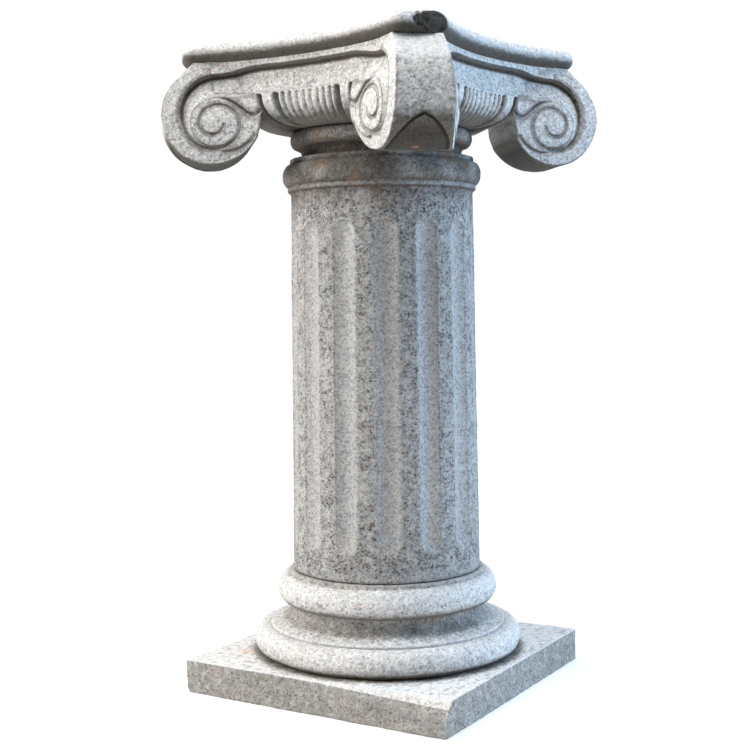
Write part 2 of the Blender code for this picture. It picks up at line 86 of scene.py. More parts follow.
# The photo's largest single marks: place, radius; rust and ochre first, then black pits
RUST_SPOTS = (((0.1844, -0.2160, 0.8172), 0.0080), ((0.2030, -0.2197, 0.9978), 0.0045),
              ((-0.1725, -0.1438, 0.0509), 0.0180))
# Painted shade: the black pits are dark colour on the surface, with no hole cut
PIT_SHADE_SPOTS = (((0.2563, 0.1722, 0.9190), 0.0042), ((0.2047, -0.2377, 0.8312), 0.0030))
DIRT_AND_SHADE_REACH = 0.0032
CHANNEL_END = -0.19

# The line under the lip, and the step at the foot of the inner turns, in units of the shaft's radius
UNIT = 0.15
LIP_LINE = ((-0.50, 0.17), (-0.47, 0.13), (-0.43, 0.10), (-0.38, 0.09), (-0.33, 0.115), (-0.28, 0.158),
            (-0.21, 0.212), (-0.141, 0.251), (-0.04, 0.268), (0.056, 0.257), (0.115, 0.225), (0.162, 0.184))
FOOT_LINE = ((0.011, -0.245), (-0.07, -0.268), (-0.142, -0.275), (-0.25, -0.245), (-0.34, -0.185),
             (-0.403, -0.107))


# Number work

def noise(points, size, seed):
    """Smooth noise from -1 to 1 that changes over about size metres."""
    lattice = np.random.RandomState(seed).uniform(-1.0, 1.0, (32, 32, 32))
    place = points / size + 400.5
    cell = np.floor(place).astype(int)
    part = place - cell
    part = part * part * (3.0 - 2.0 * part)
    total = np.zeros(points.shape[:-1])
    for corner in range(8):
        step = np.array([corner & 1, corner >> 1 & 1, corner >> 2 & 1])
        share = np.prod(np.where(step == 1, part, 1.0 - part), axis=-1)
        at = (cell + step) % 32
        total += share * lattice[at[..., 0], at[..., 1], at[..., 2]]
    return total


def smooth(value, low, high):
    """0 below low, 1 above high, and an even S between."""
    part = np.clip((value - low) / (high - low), 0.0, 1.0)
    return part * part * (3.0 - 2.0 * part)


def spread(values, places):
    """Smooth values at places counted in steps of equally spaced ones, by Catmull-Rom."""
    values = np.asarray(values, dtype=float)
    last = len(values) - 1
    index = np.minimum(places.astype(int), last - 1)
    part = places - index
    start, end = values[index], values[index + 1]
    slope_in = (end - values[np.maximum(index - 1, 0)]) / 2.0
    slope_out = (values[np.minimum(index + 2, last)] - start) / 2.0
    square, cube = part ** 2, part ** 3
    return (start * (2 * cube - 3 * square + 1) + slope_in * (cube - 2 * square + part)
            + end * (3 * square - 2 * cube) + slope_out * (cube - square))


def resample(line, spacing):
    """The same polyline with points at most spacing apart."""
    line = np.asarray(line, dtype=float)
    lengths = np.hypot(*np.diff(line, axis=0).T)
    places = np.concatenate([[0.0], np.cumsum(lengths)])
    wanted = np.linspace(0.0, places[-1], int(places[-1] / spacing) + 2)
    return np.stack([np.interp(wanted, places, column) for column in line.T], axis=-1)


def arc(centre_r, centre_z, half_r, half_z, start, end, steps=24):
    """Points of an ellipse in the turning plane, angles in degrees."""
    angles = np.radians(np.linspace(start, end, steps + 1))
    return [(centre_r + half_r * math.cos(a), centre_z + half_z * math.sin(a)) for a in angles]


def groove(places, line, depths, floors, wall, lip_shares=None, wall_inside=False):
    """Depth of a cut that follows a line, and the darkening along it, which is dirt and painted shade.

    It is steep on its outer side, which lies on the line's right, and its floor rises inwards.
    """
    deepest, dirt_and_shade = np.zeros(len(places)), np.zeros(len(places))
    lip_shares = np.zeros(len(line)) if lip_shares is None else lip_shares
    walls = np.broadcast_to(wall, (len(line),))
    for index in range(len(line) - 1):
        start, along = line[index], line[index + 1] - line[index]
        length = math.hypot(*along)
        away = places - start
        place = (away @ along) / length ** 2
        part = np.clip(place, 0.0, 1.0)
        foot = away - part[:, None] * along
        distance = np.hypot(foot[:, 0], foot[:, 1])
        inner = along[0] * away[:, 1] - along[1] * away[:, 0] > 0.0
        if wall_inside:
            inner = ~inner
        depth = depths[index] * (1.0 - part) + depths[index + 1] * part
        floor = floors[index] * (1.0 - part) + floors[index + 1] * part
        lip = lip_shares[index] * (1.0 - part) + lip_shares[index + 1] * part
        across = np.clip(distance / floor, 0.0, 1.0)
        alongside = (distance < floor) & (np.abs(place - 0.5) < 0.65)
        rising = np.where(alongside, lip + (1.0 - lip) * (1.0 - across ** 1.5), 0.0)
        steep = 1.0 - smooth(distance, 0.0, walls[index])
        deepest = np.maximum(deepest, depth * np.where(inner, rising, steep))
        # Darkening beside the cut, stronger for deeper cuts: dirt and painted shade in the recess
        near = 1.0 - smooth(distance, 0.0006, DIRT_AND_SHADE_REACH + 0.28 * depth)
        dirt_and_shade = np.maximum(dirt_and_shade, near * np.clip(depth / (6.0 * MM), 0.0, 1.5))
    return deepest, dirt_and_shade


# Meshes from rings

def blurred(rings, reach):
    """Each point's mean over a window of rings and of points around."""
    total = np.zeros_like(rings)
    for step in range(-reach, reach + 1):
        total += np.roll(rings, step, axis=1)
    around = total / (2 * reach + 1)
    padded = np.concatenate([np.repeat(around[:1], reach, 0), around, np.repeat(around[-1:], reach, 0)])
    total = np.zeros_like(rings)
    for step in range(2 * reach + 1):
        total += padded[step:step + len(rings)]
    return total / (2 * reach + 1)


def ring_normals(rings):
    """Outward directions of a stack of rings."""
    around = np.roll(rings, -1, axis=1) - np.roll(rings, 1, axis=1)
    up = np.gradient(rings, axis=0)
    normals = np.cross(around, up)
    return normals / np.maximum(np.linalg.norm(normals, axis=-1, keepdims=True), 1e-12)


def weather(rings, rough=0.35 * MM, waves=0.5 * MM, seed=1):
    """The stone's uneven surface, pressed in and out along its normals."""
    normals = ring_normals(rings)
    push = rough * noise(rings, 0.006, seed) + waves * noise(rings, 0.035, seed + 1)
    push += 0.5 * rough * noise(rings, 0.013, seed + 2)
    return rings + normals * push[..., None]


def hollows(rings, reach):
    """How far each point lies below its neighbours' mean, in metres; above it is negative.

    Where the rings lie far apart, their mean says little, so it counts for less there.
    """
    spacing = np.linalg.norm(np.gradient(rings, axis=0), axis=-1)
    weight = np.clip(0.007 / np.maximum(spacing, 1e-9), 0.0, 1.0) ** 2
    return np.sum((blurred(rings, reach) - rings) * ring_normals(rings), axis=-1) * weight


def ring_solid(rings):
    """Points and faces of a closed body from a stack of rings, with fans over both ends."""
    count, around = rings.shape[:2]
    points = np.vstack([rings.reshape(-1, 3), rings[0].mean(axis=0), rings[-1].mean(axis=0)])
    index = np.arange(count * around).reshape(count, around)
    after = np.roll(index, -1, axis=1)
    quads = np.stack([index[:-1], after[:-1], after[1:], index[1:]], axis=-1).reshape(-1, 4)
    first, last = count * around, count * around + 1
    faces = quads.tolist()
    faces += [(first, after[0, k], index[0, k]) for k in range(around)]
    faces += [(last, index[-1, k], after[-1, k]) for k in range(around)]
    middle = points.mean(axis=0)
    corners = points[quads] - middle
    volume = np.sum(np.cross(corners[:, 0], corners[:, 1]) * corners[:, 2])
    if volume < 0.0:
        faces = [tuple(face)[::-1] for face in faces]
    return points, faces


def stone_piece(name, stacks, material, node):
    """One object from stacks of rings, with each point's hollow and its soil value, which also holds painted shade
    and painted highlights, for the material.
    """
    points, faces, deep, fine, soils_and_painted_light = [], [], [], [], []
    offset = 0
    for rings, soil_and_painted_light in stacks:
        new_points, new_faces = ring_solid(rings)
        points.append(new_points)
        faces += [tuple(int(corner) + offset for corner in face) for face in new_faces]
        offset += len(new_points)
        for values, out in ((hollows(rings, 6), deep), (hollows(rings, 2), fine), (soil_and_painted_light, soils_and_painted_light)):
            out.append(np.concatenate([values.ravel(), [values[0].mean(), values[-1].mean()]]))
    points = np.vstack(points)
    # Painted shade at the pits: their value is raised to 1.6, which the material shows near black
    black = marks(points, PIT_SHADE_SPOTS)
    mesh = bpy.data.meshes.new(name)
    mesh.from_pydata(points.tolist(), [], faces)
    for attribute, values in (("deep", np.concatenate(deep) / MM), ("fine", np.concatenate(fine) / MM),
                              ("soil_and_painted_light", np.concatenate(soils_and_painted_light) * (1.0 - black) + 1.6 * black),
                              ("rust", marks(points, RUST_SPOTS))):
        layer = mesh.attributes.new(attribute, "FLOAT", "POINT")
        layer.data.foreach_set("value", values.astype(np.float32))
    mesh.shade_smooth()
    mesh.materials.append(material)
    item = bpy.data.objects.new(name, mesh)
    bpy.context.scene.collection.objects.link(item)
    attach(item, "root")
    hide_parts(node)
    return item


def marks(points, spots):
    """How strongly each point lies within one of the spots."""
    total = np.zeros(len(points))
    for place, radius in spots:
        away = np.linalg.norm(points - np.asarray(place), axis=-1)
        total = np.maximum(total, 1.0 - smooth(away, 0.35 * radius, radius))
    return total


def turned_rings(profile, around):
    """Rings of points about Z for a profile of (radius, height) that runs upwards."""
    cosines, sines = np.cos(around), np.sin(around)
    radius, height = profile[:, 0, None], profile[:, 1, None]
    return np.stack([radius * cosines, radius * sines, height + 0.0 * cosines], axis=-1)


def chip(points, place, normal, rough=0.6 * MM, seed=5):
    """Breaks off what stands beyond a plane, leaving a rough face."""
    normal = np.asarray(normal, dtype=float)
    normal /= np.linalg.norm(normal)
    broken = rough * noise(points, 0.005, seed) + 0.6 * rough * noise(points, 0.0024, seed + 1)
    beyond = (points - np.asarray(place)) @ normal - broken
    return points - np.maximum(beyond, 0.0)[..., None] * normal


# Base stone

def square_ring(half, corner, count):
    """A square of points about Z with rounded corners, anticlockwise."""
    per_side = count // 4
    line = np.linspace(-1.0, 1.0, per_side, endpoint=False)
    x = np.concatenate([np.full(per_side, 1.0), -line, np.full(per_side, -1.0), line]) * half
    y = np.concatenate([line, np.full(per_side, 1.0), -line, np.full(per_side, -1.0)]) * half
    inner = half - corner
    cx, cy = np.clip(x, -inner, inner), np.clip(y, -inner, inner)
    away = np.hypot(x - cx, y - cy)
    shrink = np.where(away > corner, corner / np.maximum(away, 1e-9), 1.0)
    return np.stack([cx + (x - cx) * shrink, cy + (y - cy) * shrink], axis=-1)


def plinth_rings():
    count, half, edge = 640, PLINTH_SIDE / 2.0, 1.8 * MM
    rows = [(half - 0.06, 0.0), (half - 0.02, 0.0)]
    rows += [(half - edge + edge * math.sin(a), edge - edge * math.cos(a))
             for a in np.radians(np.linspace(0.0, 90.0, 5))]
    rows += [(half, height) for height in np.linspace(edge, PLINTH_HEIGHT - edge, 15)[1:-1]]
    rows += [(half - edge + edge * math.cos(a), PLINTH_HEIGHT - edge + edge * math.sin(a))
             for a in np.radians(np.linspace(0.0, 90.0, 6))]
    rows += [(reach, PLINTH_HEIGHT) for reach in np.linspace(half - edge, 0.145, 22)[1:]]
    rings = []
    for reach, height in rows:
        flat = square_ring(reach, 3.0 * MM, count)
        rings.append(np.column_stack([flat, np.full(count, height)]))
    rings = np.array(rings)
    side = smooth(np.max(np.abs(rings[..., :2]), axis=-1), half - 0.006, half - 0.001)
    shape = weather(rings, 0.55 * MM, 0.7 * MM, 11)
    shape[..., :2] *= 1.0 - (side * 0.0028 * (0.6 + 0.6 * noise(rings, 0.03, 14)))[..., None]
    corner = np.array([-half, -half, 0.0])
    shape = chip(shape, corner + (0.0035, 0.0035, 0.003), (-1.0, -1.0, -0.7), seed=21)
    shape = chip(shape, (half - 0.0015, -half + 0.001, PLINTH_HEIGHT - 0.0015), (0.7, -0.9, 1.0), seed=23)
    shape = chip(shape, (0.02, -half + 0.0022, PLINTH_HEIGHT - 0.002), (0.1, -1.0, 1.0), seed=25)
    shape[..., 2] = np.maximum(shape[..., 2], 0.0)
    near = np.hypot(rings[..., 0], rings[..., 1])
    # Darker on the top just around the lower torus: dirt and painted shade under its overhang. The open top is
    # paler: painted highlight.
    contact = (1.0 - smooth(near, 0.213, 0.221)) * 0.9
    flat = smooth(rings[..., 2], PLINTH_HEIGHT - 0.0012, PLINTH_HEIGHT - 0.0002) * smooth(near, 0.218, 0.226)
    stain = 0.5 * smooth(noise(rings, 0.05, 31), 0.1, 0.8) * (rings[..., 2] > PLINTH_HEIGHT - 0.001)
    face = smooth(np.max(np.abs(rings[..., :2]), axis=-1), half - 0.0012, half - 0.0004) * (1.0 - flat)
    return shape, np.clip(contact + 0.35 * stain + 0.66 * face - 0.9 * flat, -0.9, 1.0)


def mouldings_rings():
    torus_low, lip_foot, scotia_foot, torus_foot = PLINTH_HEIGHT, 0.092, 0.0975, 0.129
    seat_foot, top = 0.174, 0.1805
    profile = [(0.150, torus_low - 0.004), (0.197, torus_low - 0.003)]
    profile += arc(0.197, 0.0715, 0.016, 0.0205, -90.0, 90.0)
    profile += [(0.189, lip_foot + 0.0006)]
    profile += arc(0.1862, lip_foot + 0.0019, 0.0013, 0.0013, -70.0, 0.0, 5)
    profile += arc(0.1862, scotia_foot - 0.0013, 0.0013, 0.0013, 0.0, 90.0, 5)
    drop = 0.0315 * 0.84
    profile += arc(0.1872, scotia_foot + drop, 0.033, drop, 266.0, 170.0)
    profile += arc(0.158, torus_foot + 0.0225, 0.018, 0.0225, -90.0, 84.0)
    profile += arc(0.1545, seat_foot + 0.001, 0.001, 0.001, 0.0, 0.0, 1)
    profile += arc(0.1543, top - 0.0012, 0.0012, 0.0012, 0.0, 90.0, 5)
    profile += [(0.10, top)]
    line = resample(profile, 2.0 * MM)
    rings = turned_rings(line, np.linspace(0.0, math.tau, 440, endpoint=False))
    # Darker at the lower torus's foot and in the scotia: dirt and painted shade. The upper halves of both tori are
    # paler: painted highlight.
    soil_and_painted_light = (1.0 - smooth(rings[..., 2], PLINTH_HEIGHT + 0.002, PLINTH_HEIGHT + 0.012)) * 0.8
    scotia = smooth(rings[..., 2], 0.099, 0.104) * (1.0 - smooth(rings[..., 2], 0.128, 0.142))
    soil_and_painted_light += scotia * (0.72 + 0.3 * noise(rings, 0.04, 41))
    soil_and_painted_light += smooth(rings[..., 2], 0.174, 0.179) * 0.5
    upper = smooth(rings[..., 2], 0.148, 0.160) * (1.0 - smooth(rings[..., 2], 0.170, 0.176))
    lower = smooth(rings[..., 2], 0.068, 0.082) * (1.0 - smooth(rings[..., 2], 0.098, 0.108))
    return weather(rings, 0.35 * MM, 0.55 * MM, 43), np.clip(soil_and_painted_light - 0.5 * upper - 0.45 * lower, -0.5, 1.0)


# Shaft

def shaft_profile():
    profile = [(0.10, SHAFT_FOOT), (0.1485, SHAFT_FOOT), (SHAFT_FOOT_RADIUS, SHAFT_FOOT + 0.0012)]
    profile += [(SHAFT_HEAD_RADIUS, CAVETTO_FOOT)]
    profile += arc(0.1485, CAVETTO_FOOT, 0.0048, 0.006, 180.0, 110.0, 8)
    profile += arc(0.1475, 0.779, 0.001, 0.001, -90.0, 0.0, 4)
    profile += arc(0.1475, 0.784, 0.001, 0.001, 0.0, 90.0, 4)
    profile += arc(0.1452, 0.8028, 0.0113, 0.01775, -78.0, 80.0)
    profile += arc(0.1444, 0.8215, 0.0008, 0.0008, -60.0, 0.0, 4)
    profile += arc(0.1442, 0.8275, 0.001, 0.001, 0.0, 90.0, 4)
    profile += arc(0.135, 0.8366, 0.0085, 0.0086, 255.0, 110.0)
    profile += arc(0.135, 0.85845, 0.0085, 0.01275, -90.0, 84.0)
    profile += [(0.130, SHAFT_TOP), (0.10, SHAFT_TOP)]
    return profile


def shaft_rings():
    line = resample(shaft_profile(), 1.7 * MM)
    straight = (line[:, 1] > SHAFT_FOOT + 0.003) & (line[:, 1] < CAVETTO_FOOT - 0.003)
    near_end = (np.abs(line[:, 1] - FLUTE_LOW) < 0.024) | (np.abs(line[:, 1] - FLUTE_HIGH) < 0.024)
    keep = ~straight | near_end | (np.arange(len(line)) % 4 == 0)
    line = line[keep]
    half_turn = math.degrees(FLUTE_WIDTH / 2.0 / SHAFT_FOOT_RADIUS)
    pitch = 360.0 / FLUTE_COUNT
    flute = np.concatenate([[0.0, 0.3, 0.8], np.linspace(1.6, 2.0 * half_turn - 1.6, 11)]) - half_turn
    flute = np.concatenate([flute, half_turn - np.array([0.8, 0.3, 0.0])])
    fillet = pitch - 2.0 * half_turn
    fillet = np.concatenate([[0.35, 1.0], np.linspace(2.2, fillet - 2.2, 4), [fillet - 1.0, fillet - 0.35]])
    steps = np.concatenate([flute, half_turn + fillet])
    first = -90.0 + FLUTE_TURN
    around = np.radians((first + pitch * np.arange(FLUTE_COUNT)[:, None] + steps).ravel())
    rings = turned_rings(line, around)
    across = np.radians(np.tile(steps, FLUTE_COUNT))
    across = np.where(across > math.radians(pitch) / 2.0, across - math.radians(pitch), across)
    across = np.clip(across, -math.radians(pitch) / 2.0, math.radians(pitch) / 2.0)[None, :] * line[:, :1]
    half_width = FLUTE_WIDTH / 2.0
    beyond = np.maximum(0.0, np.maximum(FLUTE_LOW + half_width - line[:, 1], line[:, 1] - FLUTE_HIGH + half_width))
    away = np.hypot(across, beyond[:, None]) / half_width
    share = 1.0 - away ** 2
    depth = FLUTE_DEPTH * (share + np.sqrt(share ** 2 + 0.0001)) / 2.0
    depth = np.where(straight[keep][:, None], depth, 0.0)
    radius = np.hypot(rings[..., 0], rings[..., 1])
    rings[..., :2] *= (1.0 - depth / radius)[..., None]
    height = rings[..., 2]
    # The upper mouldings under the capital are darker: brown dirt and painted shadow of the capital. Both ends
    # darken at the joints.
    soil_and_painted_light = 0.35 * smooth(height, 0.74, 0.775) * (1.0 - smooth(height, 0.776, 0.786))
    soil_and_painted_light += 0.45 * smooth(height, 0.826, 0.836) * (1.0 - 0.5 * smooth(height, 0.838, 0.85))
    soil_and_painted_light += 0.78 * smooth(height, 0.785, 0.80) + 0.36 * smooth(height, 0.735, 0.775)
    soil_and_painted_light += 0.5 * smooth(height, 0.866, 0.8712) + 0.7 * (1.0 - smooth(height, 0.181, 0.187))
    rough = weather(rings, 0.40 * MM, 0.5 * MM, 51)
    calm = smooth(depth, 0.0, 0.002)[..., None]
    rings = rings * calm * 0.55 + rough * (1.0 - calm * 0.55)
    soil_and_painted_light = np.clip(soil_and_painted_light * (0.8 + 0.5 * noise(rings, 0.03, 57)), 0.0, 1.0)
    return rings, soil_and_painted_light - 0.40 * calm[..., 0]


# Capital, about its own axis with its seat at height 0

def sweep(middle, across):
    """How far a hollow side stands out, at a distance across from its middle."""
    return middle + FACE_SWEEP_RADIUS - np.sqrt(FACE_SWEEP_RADIUS ** 2 - across ** 2)


def to_outward(across, rise):
    """Distance from the eye along the scroll's face for a place across the side."""
    return (math.sqrt(2.0) * across - EYE_REACH + SCROLL_HALF_THICKNESS
            - SCROLL_ROUNDING * rise ** 2) / (1.0 + SCROLL_TAPER)


def to_across(outward, rise):
    return (EYE_REACH - SCROLL_HALF_THICKNESS + (1.0 + SCROLL_TAPER) * outward
            + SCROLL_ROUNDING * rise ** 2) / math.sqrt(2.0)


def face_out(across, rise):
    """The face before carving: the hollow side in the middle, the scroll's own plane at the ends."""
    across = np.abs(across)
    outward = to_outward(across, rise)
    plane = (EYE_REACH + SCROLL_HALF_THICKNESS + (1.0 - SCROLL_TAPER) * outward
             - SCROLL_ROUNDING * rise ** 2) / math.sqrt(2.0)
    hollow = sweep(FACE_MIDDLE, across)
    return (plane + hollow + np.sqrt((plane - hollow) ** 2 + 0.0025 ** 2)) / 2.0 - 0.0006


def spiral_line():
    """The spiral's wall from the curl to the face's middle, with its depth, floor and lip share."""
    quarters = len(SPIRAL_RADII) - 1
    places = np.linspace(0.0, quarters, quarters * 12 + 1)
    angles = np.radians(CURL_START + 90.0 * places)
    radii = spread(SPIRAL_RADII, places)
    line = np.stack([radii * np.cos(angles), radii * np.sin(angles)], axis=-1)
    shares = LIP_SHARE * smooth(places, quarters - 0.9, quarters - 0.1)
    depths, floors = spread(SPIRAL_DEPTHS, places), spread(SPIRAL_FLOORS, places)
    run = np.linspace(0.0, 1.0, 13)[1:]
    ease = smooth(run, 0.0, 0.42)
    outward = CHANNEL_END * run
    rise = line[-1, 1] + (CHANNEL_RISE - line[-1, 1]) * ease
    line = np.vstack([line, np.stack([outward, rise], axis=-1)])
    depths = np.concatenate([depths, np.full(12, CHANNEL_DEPTH)])
    floors = np.concatenate([floors, floors[-1] + (CHANNEL_FLOOR - floors[-1]) * ease])
    return line, depths, floors, np.concatenate([shares, np.full(12, LIP_SHARE)])


def face_relief(outward, rise):
    """How deep the face is cut at each place, given from the eye, and the darkening there, which is dirt and
    painted shade.
    """
    shape = outward.shape
    places = np.stack([outward.ravel(), rise.ravel()], axis=-1)
    line, depths, floors, shares = spiral_line()
    walls = np.interp(np.arange(len(line)), (36.0, 72.0, 84.0), (1.8 * MM, 4.2 * MM, 6.2 * MM))
    cut, dirt_and_shade = groove(places, line, depths, floors, walls, shares)
    lip = resample(np.array(LIP_LINE) * UNIT, 4.0 * MM)
    part = np.linspace(0.0, 1.0, len(lip))
    lip_depths = 5.2 * MM * (1.0 - smooth(part, 0.55, 1.0))
    under_lip, lip_dirt_and_shade = groove(places, lip[::-1], lip_depths[::-1], np.full(len(lip), 5.5 * MM), 1.5 * MM)
    foot = resample(np.array(FOOT_LINE) * UNIT, 4.0 * MM)[::-1]
    part = np.linspace(1.0, 0.0, len(foot))
    foot_depths = 3.4 * MM * smooth(part, 0.0, 0.3)
    step, foot_line_dirt_and_shade = groove(places, foot, foot_depths, np.full(len(foot), 11.0 * MM), 1.6 * MM,
                             wall_inside=True)
    cut = np.maximum(cut, np.maximum(under_lip, step))
    dirt_and_shade = np.maximum(dirt_and_shade, np.maximum(lip_dirt_and_shade, foot_line_dirt_and_shade))
    from_eye = np.hypot(places[:, 0], places[:, 1])
    dome = 1.3 * MM * (1.0 - smooth(from_eye, 0.0, 0.026))
    return (cut - dome).reshape(shape), dirt_and_shade.reshape(shape)


def side_point(angle, across, out, height):
    """Points along and out from the side whose middle lies at an angle."""
    turn = math.radians(angle)
    x = out * math.cos(turn) - across * math.sin(turn)
    y = out * math.sin(turn) + across * math.cos(turn)
    return np.stack([x, y, height], axis=-1)


def carve(across, rise, cut):
    """The face's points as across and out, moved in by the cut along the face's normal."""
    step = 0.0004
    slope = (face_out(across + step, rise) - face_out(across - step, rise)) / (2.0 * step)
    length = np.sqrt(1.0 + slope ** 2)
    return across + slope / length * cut, face_out(across, rise) - cut / length


def scroll_rings(corner, underside_shade_strength):
    """A scroll: one face from its middle to its edge, the rim, and the other face back again."""
    angles = np.radians(np.concatenate([np.linspace(0.0, 250.0, 132, endpoint=False),
                                        np.linspace(250.0, 342.0, 84, endpoint=False),
                                        np.linspace(342.0, 360.0, 10, endpoint=False)]))
    flat = np.concatenate([[0.0008, 0.002], np.arange(0.0035, SCROLL_RADIUS - SCROLL_EDGE, 0.00118)])
    bend = np.radians(np.linspace(0.0, 90.0, 6))
    radii = np.concatenate([flat, SCROLL_RADIUS - SCROLL_EDGE + SCROLL_EDGE * np.sin(bend)])
    back = np.concatenate([np.zeros(len(flat)), SCROLL_EDGE * (1.0 - np.cos(bend))])
    outward = SCROLL_CENTRE_OUT + radii[:, None] * np.cos(angles)
    rise = SCROLL_CENTRE_RISE + radii[:, None] * np.sin(angles)
    cut, dirt_and_shade = face_relief(outward, rise)
    # Towards the channel the block's surface takes over from this one, which sinks under it there
    covered = smooth(angles, math.radians(46.0), math.radians(54.0)) * (angles < math.radians(152.0))
    rim_dive = 3.0 * MM * smooth(radii, SCROLL_RADIUS - 0.004, SCROLL_RADIUS)[:, None]
    sunk = smooth(-outward, -HAND_OVER, 0.008 - HAND_OVER) * smooth(EYE_HEIGHT + rise, 0.0510, 0.0570)
    cut = cut + back[:, None] * (1.0 - covered) + rim_dive * covered + DIVE * sunk
    across, out = carve(to_across(outward, rise), rise, cut)
    height = EYE_HEIGHT + rise
    first = side_point(corner - 45.0, across, out, height)
    second = side_point(corner + 45.0, -across, out, height)
    share = np.linspace(0.0, 1.0, 82)[1:-1, None, None]
    rim = first[-1] * (1.0 - share) + second[-1] * share
    along = np.radians(corner)
    beside = np.array([-math.sin(along), math.cos(along), 0.0])
    sideways = rim @ beside
    rim_angle = (angles + math.pi / 2.0) % math.tau - math.pi / 2.0
    spot = np.stack([np.broadcast_to(rim_angle * SCROLL_RADIUS, sideways.shape), sideways], axis=-1)
    leaf, inside, outline_dirt_and_shade = leaf_relief(spot)
    around = np.stack([np.cos(angles) * math.cos(along), np.cos(angles) * math.sin(along), np.sin(angles)], -1)
    rim = rim - around * leaf[..., None]
    rings = np.concatenate([first, rim, second[::-1]])
    # The faces darken along their cuts: dirt and painted shade. The rim's underside is darkened: painted shade.
    # Its upper part is paler: painted highlight.
    face_dirt_and_shade = 0.95 * dirt_and_shade
    underside_shade = smooth(-np.sin(angles), 0.10, 0.80)
    lit = 0.6 * smooth(np.sin(angles), 0.25, 0.70)
    rim_soil_and_painted_light = np.clip(0.35 * inside + underside_shade_strength * underside_shade + 1.3 * outline_dirt_and_shade - lit, -0.7, 1.7)
    soil_and_painted_light = np.concatenate([face_dirt_and_shade, rim_soil_and_painted_light, face_dirt_and_shade[::-1]])
    return rings, soil_and_painted_light


def leaf_relief(spot):
    """Depth of the pointed leaf's outline on the rim, what lies inside it, and the outline's darkening, which is
    dirt and painted shade.
    """
    tip, shoulder, foot, half_width, swell = -26.0, -85.0, -150.0, 0.0425, 0.7
    part = np.linspace(-1.0, 1.0, 41)
    reach = np.abs(part)
    swelling = np.minimum(1.0, reach * (foot - tip) / (shoulder - tip)) ** swell
    wide = half_width * np.sin(swelling * math.pi / 2.0)
    places = np.radians(tip + (foot - tip) * reach) * SCROLL_RADIUS
    line = np.stack([places, np.sign(part) * wide], axis=-1)
    flat = spot.reshape(-1, 2)
    nearest = np.full(len(flat), 1.0)
    for start, end in zip(line, line[1:]):
        along = end - start
        share = np.clip((flat - start) @ along / (along @ along), 0.0, 1.0)
        nearest = np.minimum(nearest, np.hypot(*(flat - start - share[:, None] * along).T))
    nearest = nearest.reshape(spot.shape[:-1])
    limit = np.interp(-spot[..., 0], -places[20:], wide[20:], left=-1.0, right=-1.0)
    inside = smooth(limit - np.abs(spot[..., 1]), 0.0, 3.0 * MM)
    outline_dirt_and_shade = 1.0 - smooth(nearest, 0.7 * MM, 2.6 * MM)
    groove_depth = 3.4 * MM * (1.0 - smooth(nearest, 0.3 * MM, 3.0 * MM))
    return np.maximum(groove_depth, 0.8 * MM * inside), inside, outline_dirt_and_shade


def block_end(rise):
    """Where the block ends, from the eye outwards: inside the scroll's outline, then along a tangent."""
    corner = SCROLL_RADIUS * math.sqrt(0.5)
    up = rise - SCROLL_CENTRE_RISE
    if up > corner:
        return SCROLL_CENTRE_OUT + 2.0 * corner - up - 0.0004
    return SCROLL_CENTRE_OUT + math.sqrt(SCROLL_RADIUS ** 2 - up ** 2) - 0.0004 - 0.09 * (corner - up)


def block_rings():
    """The band behind the channels, from the ribs' lip to the abacus, carved on its four sides."""
    share = np.linspace(-1.0, 1.0, 232)
    share = share * (1.35 - 0.35 * share ** 2)
    join = np.linspace(0.0, 1.0, 38)[1:-1, None]
    heights = np.concatenate([[0.0462, 0.0470, 0.0478], np.linspace(0.0485, 0.0975, 56), [0.0985]])
    inset = np.concatenate([[0.012, 0.0030, 0.0016, 0.0009, 0.0004], np.zeros(55)])
    rings, soils_and_painted_light = [], []
    for height, inner in zip(heights, inset):
        end = to_across(block_end(height - EYE_HEIGHT), height - EYE_HEIGHT)
        across = end * share
        rise = np.full(across.shape, height - EYE_HEIGHT)
        outward = to_outward(np.abs(across), rise)
        cut, dirt_and_shade = face_relief(outward, rise)
        from_middle = np.hypot(outward - SCROLL_CENTRE_OUT, rise - SCROLL_CENTRE_RISE)
        inside = 1.0 - smooth(from_middle, SCROLL_RADIUS - 0.009, SCROLL_RADIUS - 0.004)
        cut = cut + inner + DIVE * smooth(outward, HAND_OVER, HAND_OVER + 0.008) * inside
        side, out = carve(across, rise, cut)
        loop = []
        for k in range(4):
            points = side_point(90.0 * k, side, out, np.full(across.shape, height))
            after = side_point(90.0 * k + 90.0, side[:1], out[:1], np.full(1, height))
            loop += [points, points[-1:] * (1.0 - join) + after * join]
        rings.append(np.concatenate(loop))
        # The faces darken along their cuts: dirt and painted shade. The strips at the corners are paler: painted
        # highlight.
        soils_and_painted_light.append(np.tile(np.concatenate([0.95 * dirt_and_shade, np.full(len(join), -0.7)]), 4))
    return np.array(rings), np.array(soils_and_painted_light)


